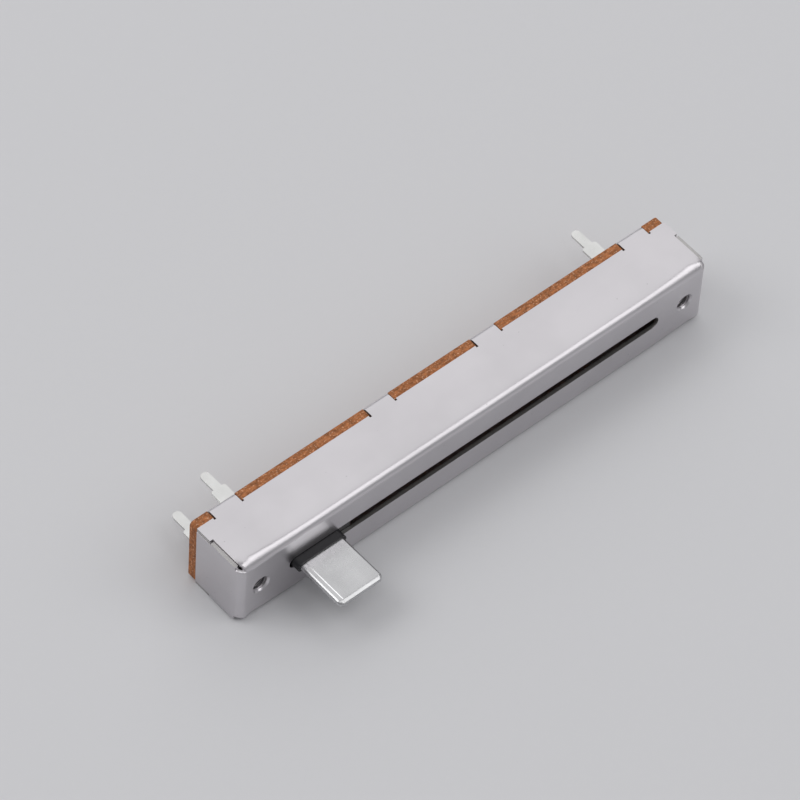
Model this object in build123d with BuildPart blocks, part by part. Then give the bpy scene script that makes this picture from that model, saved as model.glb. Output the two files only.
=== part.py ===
# Slide potentiometer with 60 mm of travel: a folded sheet-steel cover crimped round a
# laminate board, with a moulded carriage and a flat steel lever that slide inside it.
#
# Frame, in millimetres: X runs along the travel, Z is up, and the mounting face with the
# slot lies at Y = 0 and looks towards -Y, so the board and the terminals are towards +Y.
# The origin is midway between the two mounting holes, and the lever is drawn at the start
# of its travel.

import os
from math import atan2, cos, degrees, radians, sin, sqrt, tan

from build123d import *

# ---------------------------------------------------------------- driving dimensions
# Travel, and the lengths that follow from it at each end
travel = 60.0
hole_margin = 10.0
case_margin = 4.0

# Cover
case_width = 12.8
case_depth = 9.5
sheet = 0.6
bend_inner = 0.45
fold_gap = 0.05
flap_drop = 0.3
tap_radius = 1.25
collar_wall = 0.65
collar_height = 1.0
collar_lead_in = 0.3
relief_length = 1.05
relief_height = 0.85
relief_taper = 0.35
relief_margin = 0.15
ear_depth = 2.8
ear_gap = 0.25
ear_setback = 0.1
slot_width = 2.2

# Crimped tabs, four on each side wall
middle_tab_place = 10.0
middle_tab_width = 4.35
end_tab_margin = 5.65
end_tab_width = 4.7
tab_bend_inner = 0.3
tab_bend_setback = 0.72
tab_angle = 60.0
tab_tail = 0.3
tab_corner = 0.5
tab_notch = 0.35

# Board and what is printed on it
board_thickness = 1.55
board_inset_ends = 0.05
board_inset_sides = 0.15
board_corner = 0.7
board_gap = 0.15
bite_gap = 0.02
print_thickness = 0.05
track_spacing = 5.0
track_width = 2.4
track_overrun = 1.0
pad_margin = 0.35

# Terminals and the eyelets that hold them
terminal_sheet = 0.45
terminal_reach = 7.5
terminal_shoulder = 2.6
terminal_shoulder_height = 4.2
terminal_tip = 1.5
terminal_tip_corner = 0.7
terminal_bend_inner = 0.2
start_terminal_margin = 5.35
wiper_terminal_margin = 10.35
end_terminal_margin = 4.65
eyelet_shank = 0.6
eyelet_bore = 0.3
eyelet_head = 1.1
eyelet_head_height = 0.35
eyelet_fit = 0.02

# Lever and the neck that is moulded round its root
lever_width = 8.1
lever_thickness = 1.2
lever_reach = 10.0
lever_corner = 0.9
lever_edge_break = 0.4
lever_anchor_depth = 5.0
lever_anchor_notch = 0.9
neck_wall = 0.4
neck_reach = 1.3
slot_side_gap = 0.15
slot_end_gap = 0.4

# Carriage
collar_gap = 0.6
slide_gap = 0.05
side_gap = 0.1
carriage_depth = 6.4
carriage_corner = 0.7
core_depth = 3.6
core_wall = 1.1
stake_radius = 0.6
stake_head = 0.95
stake_head_height = 0.4
stake_pitch = 7.0
stake_fit = 0.03

# Wiper contact and drag spring
wiper_sheet = 0.15
wiper_plate_length = 3.4
wiper_plate_width = 9.4
wiper_plate_edge = 0.2
finger_width = 0.5
finger_pitch = 0.75
finger_count = 3
finger_root = 0.5
finger_bend = 0.5
finger_curl = 0.45
finger_curl_angle = 50.0
contact_gap = 0.03
spring_sheet = 0.2
spring_span = 10.0
spring_width = 3.0
spring_gap = 0.03
spring_pocket_depth = 0.9
spring_pocket_gap = 0.3

# ---------------------------------------------------------------- worked-out dimensions
hole_pitch = travel + 2 * hole_margin
case_length = hole_pitch + 2 * case_margin
half_length = case_length / 2
half_width = case_width / 2
bend_outer = bend_inner + sheet
wall_inside = half_width - sheet
flap_inside = half_length - sheet
ear_start = case_depth - ear_depth
board_back = case_depth + board_thickness
board_half_length = half_length - board_inset_ends
board_half_width = half_width - board_inset_sides
track_face = case_depth - print_thickness
track_height = track_spacing / 2

# A tab bends round its inner radius, so that its leg leans over the board's back edge.
tab_sine = sin(radians(tab_angle))
tab_cosine = cos(radians(tab_angle))
tab_bend_start = board_back - tab_bend_setback
tab_bend_height = wall_inside - tab_bend_inner
tab_leg_start = (
    tab_bend_start + tab_bend_inner * tab_sine,
    tab_bend_height + tab_bend_inner * tab_cosine,
)
tab_bite = tab_leg_start[1] - (board_back - tab_leg_start[0]) * tan(radians(tab_angle))
tab_leg = (board_back - tab_leg_start[0]) / tab_cosine + tab_tail
notch_floor = tab_bite - bite_gap
end_tab_place = half_length - end_tab_margin
tab_rows = (
    (-end_tab_place, end_tab_width),
    (-middle_tab_place, middle_tab_width),
    (middle_tab_place, middle_tab_width),
    (end_tab_place, end_tab_width),
)

lever_start = -travel / 2
neck_length = lever_width + 2 * neck_wall
neck_width = slot_width - 2 * slot_side_gap
slot_length = travel + neck_length + 2 * slot_end_gap
carriage_front = sheet + slide_gap
carriage_back = carriage_front + carriage_depth
carriage_half_width = wall_inside - side_gap
carriage_length = 2 * (hole_margin - tap_radius - collar_wall - collar_gap)
plate_end = lever_start + carriage_length / 2 - wiper_plate_edge
plate_start = plate_end - wiper_plate_length
plate_middle = (plate_start + plate_end) / 2


def face_at(y):
    """Plane at depth y whose local axes are X and Z; negative amounts go towards the board."""
    return Plane.XZ.offset(-y)


def save(part, name):
    part.label = name
    export_step(part, f"parts/{name}.step")


os.makedirs("parts", exist_ok=True)

# ---------------------------------------------------------------- cover, one folded sheet
with BuildPart() as cover:
    with BuildSketch(Plane.XZ):
        Rectangle(case_length, case_width)
    extrude(amount=-case_depth)
    fillet(cover.faces().sort_by(Axis.Y)[0].edges(), radius=bend_outer)
    offset(amount=-sheet, openings=cover.faces().sort_by(Axis.Y)[-1])

    # Slot for the lever's neck
    with BuildSketch(Plane.XZ):
        SlotOverall(slot_length, slot_width)
    extrude(amount=-sheet, mode=Mode.SUBTRACT)

    # Mounting holes, drawn inwards into tapped collars with a countersunk lead-in
    with BuildSketch(face_at(sheet)):
        with GridLocations(hole_pitch, 0, 2, 1):
            Circle(tap_radius + collar_wall)
    extrude(amount=-collar_height)
    with BuildSketch(Plane.XZ):
        with GridLocations(hole_pitch, 0, 2, 1):
            Circle(tap_radius)
    extrude(amount=-(sheet + collar_height), mode=Mode.SUBTRACT)
    hole_rims = cover.faces().sort_by(Axis.Y)[0].edges().filter_by(GeomType.CIRCLE)
    chamfer(hole_rims.filter_by(lambda rim: abs(rim.radius - tap_radius) < 0.01), length=collar_lead_in)

    # Side walls stop short of the end flaps, up to the ears that lap over them
    with BuildSketch(Plane.XZ):
        with GridLocations(2 * flap_inside - fold_gap, 2 * half_width - sheet, 2, 2):
            Rectangle(fold_gap, sheet)
    extrude(amount=-ear_start, mode=Mode.SUBTRACT)
    with BuildSketch(face_at(ear_start - ear_gap)):
        with GridLocations(2 * half_length - sheet - fold_gap, 2 * half_width - sheet - fold_gap, 2, 2):
            Rectangle(sheet + fold_gap, sheet + fold_gap)
    extrude(amount=-ear_gap, mode=Mode.SUBTRACT)
    with BuildSketch(face_at(ear_start)):
        with GridLocations(2 * half_length - sheet, 2 * wall_inside - fold_gap, 2, 2):
            Rectangle(sheet, fold_gap)
    extrude(amount=-ear_depth, mode=Mode.SUBTRACT)
    with BuildSketch(face_at(ear_start)):
        with GridLocations(2 * half_length - ear_setback, 2 * half_width - sheet, 2, 2):
            Rectangle(ear_setback, sheet)
    extrude(amount=-ear_depth, mode=Mode.SUBTRACT)
    with BuildSketch(face_at(case_depth - fold_gap)):
        with GridLocations(2 * half_length - sheet, 0, 2, 1):
            Rectangle(sheet, 2 * wall_inside)
    extrude(amount=-fold_gap, mode=Mode.SUBTRACT)

    # The end flaps end a little below the side walls' outer faces
    with BuildSketch(Plane.XZ):
        with GridLocations(2 * half_length - sheet, 2 * half_width - flap_drop, 2, 2):
            Rectangle(sheet, flap_drop)
    extrude(amount=-ear_start, mode=Mode.SUBTRACT)

    # Relief at each corner where the web, a side wall and an end flap would meet
    with BuildSketch(Plane.XY.offset(half_width - relief_height)):
        with BuildLine():
            Polyline(
                (half_length, 0),
                (half_length - relief_length, 0),
                (flap_inside - fold_gap, bend_outer + relief_taper),
                (flap_inside, bend_outer + relief_taper),
                (flap_inside, bend_outer + relief_margin),
                (half_length, bend_outer + relief_margin),
                close=True,
            )
        make_face()
        mirror(about=Plane.YZ)
    relief = extrude(amount=relief_height, mode=Mode.SUBTRACT)
    mirror(relief, about=Plane.XY, mode=Mode.SUBTRACT)

    # Tabs, each with a small notch at both sides of its root
    for place, width in tab_rows:
        with BuildSketch(Plane.YZ.offset(place - width / 2)):
            with BuildLine():
                root = Line((case_depth, half_width - sheet / 2), (tab_bend_start, half_width - sheet / 2))
                fold = JernArc(root @ 1, root % 1, tab_bend_inner + sheet / 2, -tab_angle)
                PolarLine(fold @ 1, tab_leg, direction=fold % 1)
            trace(line_width=sheet)
        tab = extrude(amount=width)
        mirror(tab, about=Plane.XY)
    tips = cover.edges().filter_by(
        lambda edge: edge.center().Y > board_back and abs(edge.length - sheet) < 0.01
    )
    fillet(tips, radius=tab_corner)
    with BuildSketch(Plane.XY.offset(wall_inside)):
        for place, width in tab_rows:
            for side in (-1, 1):
                with Locations((place + side * (width + tab_notch) / 2, case_depth - tab_notch / 2)):
                    Rectangle(tab_notch, tab_notch)
    notches = extrude(amount=sheet, mode=Mode.SUBTRACT)
    mirror(notches, about=Plane.XY, mode=Mode.SUBTRACT)
save(cover.part, "cover")

# ---------------------------------------------------------------- board
terminal_places = {
    "start": (-travel / 2 - start_terminal_margin, 1),
    "wiper": (-travel / 2 - wiper_terminal_margin, -1),
    "end": (travel / 2 + end_terminal_margin, 1),
}
foot_length = eyelet_head + terminal_bend_inner + terminal_sheet + eyelet_head_height
eyelet_centres = {
    name: (place, side * (track_height - foot_length))
    for name, (place, side) in terminal_places.items()
}

with BuildPart() as base_board:
    with BuildSketch(face_at(case_depth)):
        RectangleRounded(2 * board_half_length, 2 * board_half_width, board_corner)
        for place, width in tab_rows:
            for side in (-1, 1):
                with Locations((place, side * (notch_floor + board_half_width) / 2)):
                    Rectangle(width + 2 * board_gap, board_half_width - notch_floor, mode=Mode.SUBTRACT)
        with Locations(*eyelet_centres.values()):
            Circle(eyelet_shank + eyelet_fit, mode=Mode.SUBTRACT)
    extrude(amount=-board_thickness)
save(base_board.part, "base_board")

# ---------------------------------------------------------------- printed tracks
track_end = travel / 2 + track_overrun

with BuildPart() as resistive_track:
    with BuildSketch(face_at(track_face)):
        with Locations((0, track_height)):
            Rectangle(2 * track_end, track_width)
    extrude(amount=-print_thickness)
save(resistive_track.part, "resistive_track")

with BuildPart() as collector_track:
    with BuildSketch(face_at(track_face)):
        collector_start = eyelet_centres["wiper"][0] - eyelet_head - pad_margin
        with Locations((collector_start, -track_height - track_width / 2)):
            Rectangle(track_end - collector_start, track_width, align=(Align.MIN, Align.MIN))
        with Locations((collector_start, -track_height)):
            Rectangle(
                2 * (eyelet_head + pad_margin),
                track_height + eyelet_centres["wiper"][1] + eyelet_head + pad_margin,
                align=(Align.MIN, Align.MIN),
            )
        with Locations(eyelet_centres["wiper"]):
            Circle(eyelet_shank + eyelet_fit, mode=Mode.SUBTRACT)
    extrude(amount=-print_thickness)
save(collector_track.part, "collector_track")

for name in ("start", "end"):
    place, height = eyelet_centres[name]
    outward = 1 if place > 0 else -1
    pad_end = abs(place) + eyelet_head + pad_margin
    with BuildPart() as end_pad:
        with BuildSketch(face_at(track_face)):
            with Locations((outward * (track_end + pad_end) / 2, track_height)):
                Rectangle(pad_end - track_end, track_width)
            with Locations((place, (height + track_height - eyelet_head - pad_margin) / 2)):
                Rectangle(
                    2 * (eyelet_head + pad_margin), track_height - height + eyelet_head + pad_margin
                )
            with Locations((place, height)):
                Circle(eyelet_shank + eyelet_fit, mode=Mode.SUBTRACT)
        extrude(amount=-print_thickness)
    save(end_pad.part, f"end_pad_{name}")

# ---------------------------------------------------------------- terminals and eyelets
for name, (place, side) in terminal_places.items():
    eyelet_height = eyelet_centres[name][1]
    foot_middle = board_back + terminal_sheet / 2
    blade_height = side * track_height
    bend_middle = terminal_bend_inner + terminal_sheet / 2

    with BuildPart() as terminal:
        with BuildSketch(Plane.YZ.offset(place - terminal_shoulder / 2)):
            with BuildLine():
                blade = Line(
                    (board_back + terminal_reach, blade_height),
                    (foot_middle + bend_middle, blade_height),
                )
                bend = JernArc(blade @ 1, blade % 1, bend_middle, side * 90)
                Line(bend @ 1, (foot_middle, eyelet_height - side * eyelet_head))
            trace(line_width=terminal_sheet)
        extrude(amount=terminal_shoulder)

        # The blade steps in to its narrow tip
        with BuildSketch(Plane.XY.offset(blade_height - terminal_sheet / 2)):
            tip_height = terminal_reach - terminal_shoulder_height
            step_width = (terminal_shoulder - terminal_tip) / 2
            with Locations((place, board_back + terminal_reach - tip_height / 2)):
                with GridLocations(terminal_tip + step_width, 0, 2, 1):
                    Rectangle(step_width, tip_height)
        extrude(amount=terminal_sheet, mode=Mode.SUBTRACT)
        fillet(
            terminal.faces().sort_by(Axis.Y)[-1].edges().filter_by(Axis.Z), radius=terminal_tip_corner
        )
        foot_end = terminal.faces().sort_by(Axis.Z)[0 if side > 0 else -1]
        fillet(foot_end.edges().filter_by(Axis.Y), radius=eyelet_head - 0.1)
        with BuildSketch(face_at(board_back)):
            with Locations((place, eyelet_height)):
                Circle(eyelet_shank + eyelet_fit)
        extrude(amount=-terminal_sheet, mode=Mode.SUBTRACT)
    save(terminal.part, f"terminal_{name}")

    with BuildPart() as eyelet:
        with BuildSketch(face_at(track_face - eyelet_head_height)):
            with Locations((place, eyelet_height)):
                Circle(eyelet_head)
        extrude(amount=-eyelet_head_height)
        with BuildSketch(face_at(track_face)):
            with Locations((place, eyelet_height)):
                Circle(eyelet_shank)
        extrude(amount=-(board_back + terminal_sheet - track_face))
        with BuildSketch(face_at(board_back + terminal_sheet)):
            with Locations((place, eyelet_height)):
                Circle(eyelet_head)
        extrude(amount=-eyelet_head_height)
        rims = eyelet.edges().filter_by(GeomType.CIRCLE).sort_by(Axis.Y)
        chamfer(rims[-1], length=eyelet_head_height / 2)
        with BuildSketch(face_at(track_face)):
            with Locations((place, eyelet_height)):
                Circle(eyelet_bore)
        bore_length = board_back - track_face + terminal_sheet + eyelet_head_height
        extrude(amount=-bore_length, mode=Mode.SUBTRACT)
    save(eyelet.part, f"eyelet_{name}")

# ---------------------------------------------------------------- lever
with BuildPart() as lever:
    with BuildSketch(Plane.XY.offset(-lever_thickness / 2)):
        with Locations((lever_start, -lever_reach)):
            Rectangle(
                lever_width, lever_reach + carriage_front + lever_anchor_depth,
                align=(Align.CENTER, Align.MIN),
            )
        with Locations((lever_start, carriage_front + lever_anchor_depth / 2)):
            with GridLocations(lever_width, 0, 2, 1):
                Circle(lever_anchor_notch, mode=Mode.SUBTRACT)
    extrude(amount=lever_thickness)
    fillet(lever.faces().sort_by(Axis.Y)[0].edges().filter_by(Axis.Z), radius=lever_corner)

    # The edges of both broad faces are broken, from the tip back into the neck
    broad_edges = lever.faces().filter_by(Axis.Z).edges()
    chamfer(broad_edges.filter_by(lambda edge: edge.center().Y < -neck_reach), length=lever_edge_break)
save(lever.part, "lever")

# ---------------------------------------------------------------- carriage, moulded round the lever
spring_seat = carriage_half_width - spring_pocket_depth
spring_middle = carriage_front + carriage_depth / 2

with BuildPart() as carriage:
    with BuildSketch(face_at(carriage_front)):
        with Locations((lever_start, 0)):
            Rectangle(carriage_length, 2 * carriage_half_width)
    extrude(amount=-carriage_depth)
    chamfer(carriage.faces().sort_by(Axis.Y)[0].edges(), length=carriage_corner)

    # Neck that runs in the slot
    with BuildSketch(face_at(-neck_reach)):
        with Locations((lever_start, 0)):
            SlotOverall(neck_length, neck_width)
    extrude(amount=-(neck_reach + carriage_front))
    add(lever.part, mode=Mode.SUBTRACT)

    # Core-outs each side of the lever's anchor, open towards the board
    core_start = lever_start - carriage_length / 2 + core_wall
    core_length = (plate_start - core_wall - core_start) / 2
    core_inside = lever_thickness / 2 + core_wall
    core_width = spring_seat - core_wall - core_inside
    with BuildSketch(face_at(carriage_back)):
        with Locations((core_start + core_length + core_wall / 2, 0)):
            with GridLocations(core_length + core_wall, 2 * core_inside + core_width, 2, 2):
                Rectangle(core_length, core_width)
    extrude(amount=core_depth, mode=Mode.SUBTRACT)

    # Stakes for the wiper contact, with their melted heads
    with BuildSketch(face_at(carriage_back)):
        with Locations((plate_middle, 0)):
            with GridLocations(0, stake_pitch, 1, 2):
                Circle(stake_radius)
    extrude(amount=-wiper_sheet)
    with BuildSketch(face_at(carriage_back + wiper_sheet)):
        with Locations((plate_middle, 0)):
            with GridLocations(0, stake_pitch, 1, 2):
                Circle(stake_head)
    extrude(amount=-stake_head_height)

    # Pocket for the drag spring
    with BuildSketch(Plane.XY.offset(-carriage_half_width)):
        with Locations((lever_start, spring_middle)):
            Rectangle(spring_span + 2 * spring_pocket_gap, spring_width + 2 * spring_pocket_gap)
    extrude(amount=spring_pocket_depth, mode=Mode.SUBTRACT)
save(carriage.part, "carriage")

# ---------------------------------------------------------------- wiper contact
# Each finger leaves the plate through a small bend, climbs in a straight arm and curls over
# where it meets its track. The arm is the line that touches both of those round stretches.
plate_centre = carriage_back + wiper_sheet / 2
contact_centre = track_face - contact_gap - wiper_sheet / 2
bends = Vector(plate_start - lever_start, contact_centre - finger_curl - plate_centre - finger_bend)
arm_length = sqrt(bends.length**2 - (finger_bend + finger_curl) ** 2)
arm_angle = degrees(atan2(bends.Y, bends.X) + atan2(finger_bend + finger_curl, arm_length))

with BuildPart() as wiper_contact:
    with BuildSketch(face_at(carriage_back)):
        with Locations((plate_middle, 0)):
            Rectangle(wiper_plate_length, wiper_plate_width)
            with GridLocations(0, stake_pitch, 1, 2):
                Circle(stake_radius + stake_fit, mode=Mode.SUBTRACT)
    extrude(amount=-wiper_sheet)
    with BuildSketch(Plane.XY.offset(-finger_width / 2)):
        with BuildLine():
            foot = Line((plate_start + finger_root, plate_centre), (plate_start, plate_centre))
            bend = JernArc(foot @ 1, foot % 1, finger_bend, -arm_angle)
            arm = PolarLine(bend @ 1, arm_length, direction=bend % 1)
            JernArc(arm @ 1, arm % 1, finger_curl, arm_angle + finger_curl_angle)
        trace(line_width=wiper_sheet)
    finger = extrude(amount=finger_width, mode=Mode.PRIVATE)
    for track in (-track_height, track_height):
        for step in range(finger_count):
            with Locations((0, 0, track + (step - (finger_count - 1) / 2) * finger_pitch)):
                add(finger)
save(wiper_contact.part, "wiper_contact")

# ---------------------------------------------------------------- drag spring
with BuildPart() as drag_spring:
    with BuildSketch(face_at(spring_middle - spring_width / 2)):
        with BuildLine():
            ThreePointArc(
                (lever_start - spring_span / 2, -spring_seat - spring_sheet / 2 - spring_gap),
                (lever_start, -wall_inside + spring_sheet / 2 + spring_gap),
                (lever_start + spring_span / 2, -spring_seat - spring_sheet / 2 - spring_gap),
            )
        trace(line_width=spring_sheet)
    extrude(amount=-spring_width)
save(drag_spring.part, "drag_spring")
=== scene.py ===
"""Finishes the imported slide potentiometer: eased and rolled edges, tapped collars, a blanked
lever and terminals, clenched eyelets, a procedural finish on every surface, and a stage with
soft lamps and a camera."""

import math
from contextlib import contextmanager

import bmesh
import bpy
from bpy.props import FloatProperty, FloatVectorProperty, IntProperty, PointerProperty
from mathutils import Matrix, Vector


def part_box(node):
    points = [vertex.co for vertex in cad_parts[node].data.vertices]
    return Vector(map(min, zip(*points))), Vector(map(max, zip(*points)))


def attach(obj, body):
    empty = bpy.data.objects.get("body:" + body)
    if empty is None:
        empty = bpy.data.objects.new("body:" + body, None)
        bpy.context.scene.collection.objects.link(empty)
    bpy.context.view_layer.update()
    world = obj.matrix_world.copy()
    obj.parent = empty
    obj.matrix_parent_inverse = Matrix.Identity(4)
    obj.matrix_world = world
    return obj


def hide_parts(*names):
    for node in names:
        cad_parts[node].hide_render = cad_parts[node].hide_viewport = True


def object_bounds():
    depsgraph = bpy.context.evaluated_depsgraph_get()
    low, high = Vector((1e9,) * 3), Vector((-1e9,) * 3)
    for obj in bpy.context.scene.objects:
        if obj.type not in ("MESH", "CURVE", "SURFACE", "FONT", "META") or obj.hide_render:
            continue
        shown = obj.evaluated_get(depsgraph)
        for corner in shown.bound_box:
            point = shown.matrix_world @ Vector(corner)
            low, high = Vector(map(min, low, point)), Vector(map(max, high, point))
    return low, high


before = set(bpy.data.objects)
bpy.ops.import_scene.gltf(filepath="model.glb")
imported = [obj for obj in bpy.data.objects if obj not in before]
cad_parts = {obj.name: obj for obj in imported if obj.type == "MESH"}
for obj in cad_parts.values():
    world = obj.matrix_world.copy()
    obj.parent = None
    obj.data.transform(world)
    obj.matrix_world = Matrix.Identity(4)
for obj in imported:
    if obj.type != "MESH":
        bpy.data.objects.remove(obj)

bl_info = {
    "name": "Slide Potentiometer Finish",
    "version": (1, 0, 0),
    "blender": (4, 5, 0),
    "location": "3D View > Sidebar > Slide Pot",
    "description": "Models and finishes the pieces of a slide potentiometer round its CAD frame",
    "category": "Object",
}

MM = 0.001
WELD = 0.001 * MM
# A point this near to a plane counts as lying on it
TOUCH = 0.01 * MM
CAD_LOW, CAD_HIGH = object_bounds()

# The thread's profile: a groove's half widths at its edge and root, in pitches
GROOVE_EDGE = 5 / 14
GROOVE_ROOT = 5 / 42
# The length of a rod that cuts right through a piece of sheet
CUTTER_LENGTH = 4 * MM

# The camera's stand: degrees round and above its target, a place in the frame
CAMERA_AZIMUTH = -44.11
CAMERA_ELEVATION = 52.31
CAMERA_ROLL = 4.18
CAMERA_DISTANCE = 0.83873
CAMERA_TARGET = Vector((-0.010968, 0.005, 0.013361))
CAMERA_LENS = 270.0
CAMERA_SENSOR = 36.0
CAMERA_REACH = 20.0

# The lamps: name, direction from that target, width, height and radiance
SOFTBOXES = (
    ("key_softbox", (-0.50, 0.42, 0.74), 0.75, 0.75, 2.10),
    ("sky_softbox", (0.43, 0.62, 0.66), 1.50, 1.50, 0.66),
    ("rim_softbox", (0.43, -0.50, 0.75), 0.80, 1.05, 1.35),
    ("crown_softbox", (-0.27, -0.26, 0.92), 0.45, 0.45, 1.60),
)
SOFTBOX_DISTANCE = 1.2


# -------- colours
def hex_to_linear(code):
    """An sRGB hex colour such as '#C9C6CA' as linear red, green and blue."""
    channels = [int(code[i : i + 2], 16) / 255 for i in (1, 3, 5)]
    return tuple(c / 12.92 if c <= 0.04045 else ((c + 0.055) / 1.055) ** 2.4 for c in channels)


def rgba(colour):
    """The colour with full alpha, as node sockets take it."""
    return (*colour, 1.0)


def colour_setting(name, description, code):
    """A colour setting whose default is an sRGB hex colour."""
    colour = hex_to_linear(code)
    return FloatVectorProperty(
        name=name, description=description, subtype="COLOR", min=0, max=1, default=colour
    )


def length_setting(name, description, size_mm):
    """A length setting whose default is given in millimetres."""
    return FloatProperty(
        name=name, description=description, unit="LENGTH", min=0, precision=5, default=size_mm * MM
    )


# -------- settings
class CoverSettings(bpy.types.PropertyGroup):
    sheet: length_setting("Sheet", "Thickness of the sheet", 0.6)
    edge_ease: length_setting("Edge ease", "How far the sheared edges are rounded over", 0.04)
    rim_width: length_setting("Rim width", "Width of the rolled rims at the corner reliefs", 0.5)
    rim_roll: length_setting("Rim roll", "How far those rims fall away to the outside", 0.2)
    fold_radius: length_setting("Fold radius", "Outside radius of the folds", 1.05)
    fold_opening: FloatProperty(
        name="Fold opening", description="How much that radius grows at the ends", default=0.5
    )
    opening_length: length_setting("Opening length", "Length over which those folds open", 13.0)
    relief_height: length_setting("Relief height", "Height of the reliefs at the corners", 0.85)
    flap_drop: length_setting("Flap drop", "How far the flaps' ends lie below the walls", 0.3)
    ear_depth: length_setting("Ear depth", "Depth of the ears beside the flaps", 2.9)
    slot_width: length_setting("Slot width", "Width of the slot in the web", 2.2)
    bow_reach: length_setting("Bow reach", "Depth at which the walls start to fall in", 2.4)
    bow_slope: FloatProperty(
        name="Bow slope", description="Slope of the walls at the web", min=0, default=0.19
    )
    wall_depth: length_setting("Wall depth", "Depth from the outside that moves in full", 0.9)
    bore_margin: length_setting("Bore margin", "Tapped holes' distance from the ends", 4.0)
    bore_radius: length_setting("Bore radius", "Radius of the holes before tapping", 1.25)
    thread_pitch: length_setting("Thread pitch", "Pitch of the thread tapped in the collars", 0.5)
    thread_depth: length_setting("Thread depth", "Depth of that thread's grooves", 0.25)
    thread_cuts: IntProperty(
        name="Thread cuts", description="Rings cut along each tapped bore", min=8, default=44
    )
    sheet_colour: colour_setting("Sheet colour", "Colour of the tin-plated sheet", "#D3D0D3")
    shear_colour: colour_setting("Sheared colour", "Colour of the bare sheared edges", "#BDBBBA")


class BoardSettings(bpy.types.PropertyGroup):
    edge_ease: length_setting("Edge ease", "How far the punched edges are rounded over", 0.05)
    ply_thickness: length_setting("Ply thickness", "Thickness of one paper ply", 0.19)
    face_colour: colour_setting("Face colour", "Colour of the pressed faces", "#8F5A36")
    edge_colour: colour_setting("Edge colour", "Colour of the punched edges", "#A5683F")


class LeverSettings(bpy.types.PropertyGroup):
    corner_radius: length_setting("Corner radius", "Radius of the two corners at the tip", 0.9)
    edge_roll: length_setting("Edge roll", "Radius that tumbling leaves on the edges", 0.55)
    margin_width: length_setting("Margin width", "Width of the margin pressed on one side", 1.05)
    margin_step: length_setting("Margin step", "Width of the slope down to the margin", 0.1)
    margin_drop: length_setting("Margin drop", "How far the margin lies below the middle", 0.055)
    tip_length: length_setting("Tip length", "Length over which the tip is pressed thinner", 0.75)
    tip_slope: length_setting("Tip slope", "Width of the slope down to the pressed tip", 0.45)
    tip_drop: length_setting("Tip drop", "How far the tip's edge lies below the middle", 0.13)
    anchor_start: length_setting("Anchor start", "Depth at which the carriage grips it", 0.65)
    notch_radius: length_setting("Notch radius", "Radius of the notches that anchor it", 0.9)
    colour: colour_setting("Colour", "Colour of the nickel plating", "#C6C6C7")


class TerminalSettings(bpy.types.PropertyGroup):
    sheet: length_setting("Sheet", "Thickness of the strip", 0.45)
    bend_inner: length_setting("Inner bend", "Inside radius of the bend at the foot", 0.2)
    shoulder_height: length_setting("Shoulder height", "Height of the wide part", 4.2)
    shoulder_radius: length_setting("Shoulder radius", "Radius of the shoulder's corners", 0.4)
    tip_width: length_setting("Tip width", "Width of the narrow part", 1.5)
    tip_radius: length_setting("Tip radius", "Radius of the tip's corners", 0.7)
    foot_radius: length_setting("Foot radius", "Radius of the foot's corners", 1.0)
    eyelet_clearance: length_setting("Eyelet clearance", "Gap round the eyelet's tube", 0.02)
    edge_ease: length_setting("Edge ease", "How far the edges are rounded over", 0.05)
    colour: colour_setting("Colour", "Colour of the tinning", "#E0E0DE")


class EyeletSettings(bpy.types.PropertyGroup):
    shank_radius: length_setting("Shank radius", "Outside radius of the tube", 0.6)
    bore_radius: length_setting("Bore radius", "Inside radius of the tube", 0.3)
    flange: length_setting("Flange thickness", "Thickness of the flange and of the roll", 0.35)
    flange_ease: length_setting("Flange ease", "Chamfer round the flange's rim", 0.08)
    mouth_flare: length_setting("Mouth flare", "How far the bore opens beyond the tube", 0.12)
    steps: IntProperty(name="Steps", description="Steps round the eyelet", min=12, default=56)


class SliderSettings(bpy.types.PropertyGroup):
    edge_ease: length_setting("Edge ease", "Radius left by the mould on the carriage", 0.08)
    acetal_colour: colour_setting("Acetal colour", "Colour of the moulding", "#17171A")
    bronze_colour: colour_setting("Bronze colour", "Colour of the wiper contact", "#BE9060")
    spring_colour: colour_setting("Spring colour", "Colour of the drag spring", "#9A9C9F")


class PrintSettings(bpy.types.PropertyGroup):
    carbon_colour: colour_setting("Carbon colour", "Colour of the resistive ink", "#2A2A2D")
    silver_colour: colour_setting("Silver colour", "Colour of the conductive ink", "#B0ACA3")


class StageSettings(bpy.types.PropertyGroup):
    floor_colour: colour_setting("Floor colour", "Colour of the paper floor", "#D4D4D6")
    surround_colour: colour_setting("Surround colour", "Colour of the room round it", "#9C9C9E")
    floor_size: FloatProperty(
        name="Floor size", description="Side of the floor", unit="LENGTH", min=1, default=8.0
    )


class SlidePotSettings(bpy.types.PropertyGroup):
    cover: PointerProperty(type=CoverSettings)
    board: PointerProperty(type=BoardSettings)
    lever: PointerProperty(type=LeverSettings)
    terminals: PointerProperty(type=TerminalSettings)
    eyelets: PointerProperty(type=EyeletSettings)
    slider: PointerProperty(type=SliderSettings)
    prints: PointerProperty(type=PrintSettings)
    stage: PointerProperty(type=StageSettings)


# -------- node helpers
def add_node(tree, kind, values=None):
    """Adds one node; values go to its properties or inputs, and sockets are linked to them."""
    node = tree.nodes.new("ShaderNode" + kind)
    for name, value in (values or {}).items():
        if isinstance(value, bpy.types.NodeSocket):
            tree.links.new(value, node.inputs[name])
        elif isinstance(name, str) and hasattr(node, name):
            setattr(node, name, value)
        else:
            node.inputs[name].default_value = value
    return node


def new_material(name):
    """An empty node material, its tree and its object coordinates."""
    material = bpy.data.materials.new(name)
    material.use_nodes = True
    tree = material.node_tree
    tree.nodes.clear()
    return material, tree, add_node(tree, "TexCoord").outputs["Object"]


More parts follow.
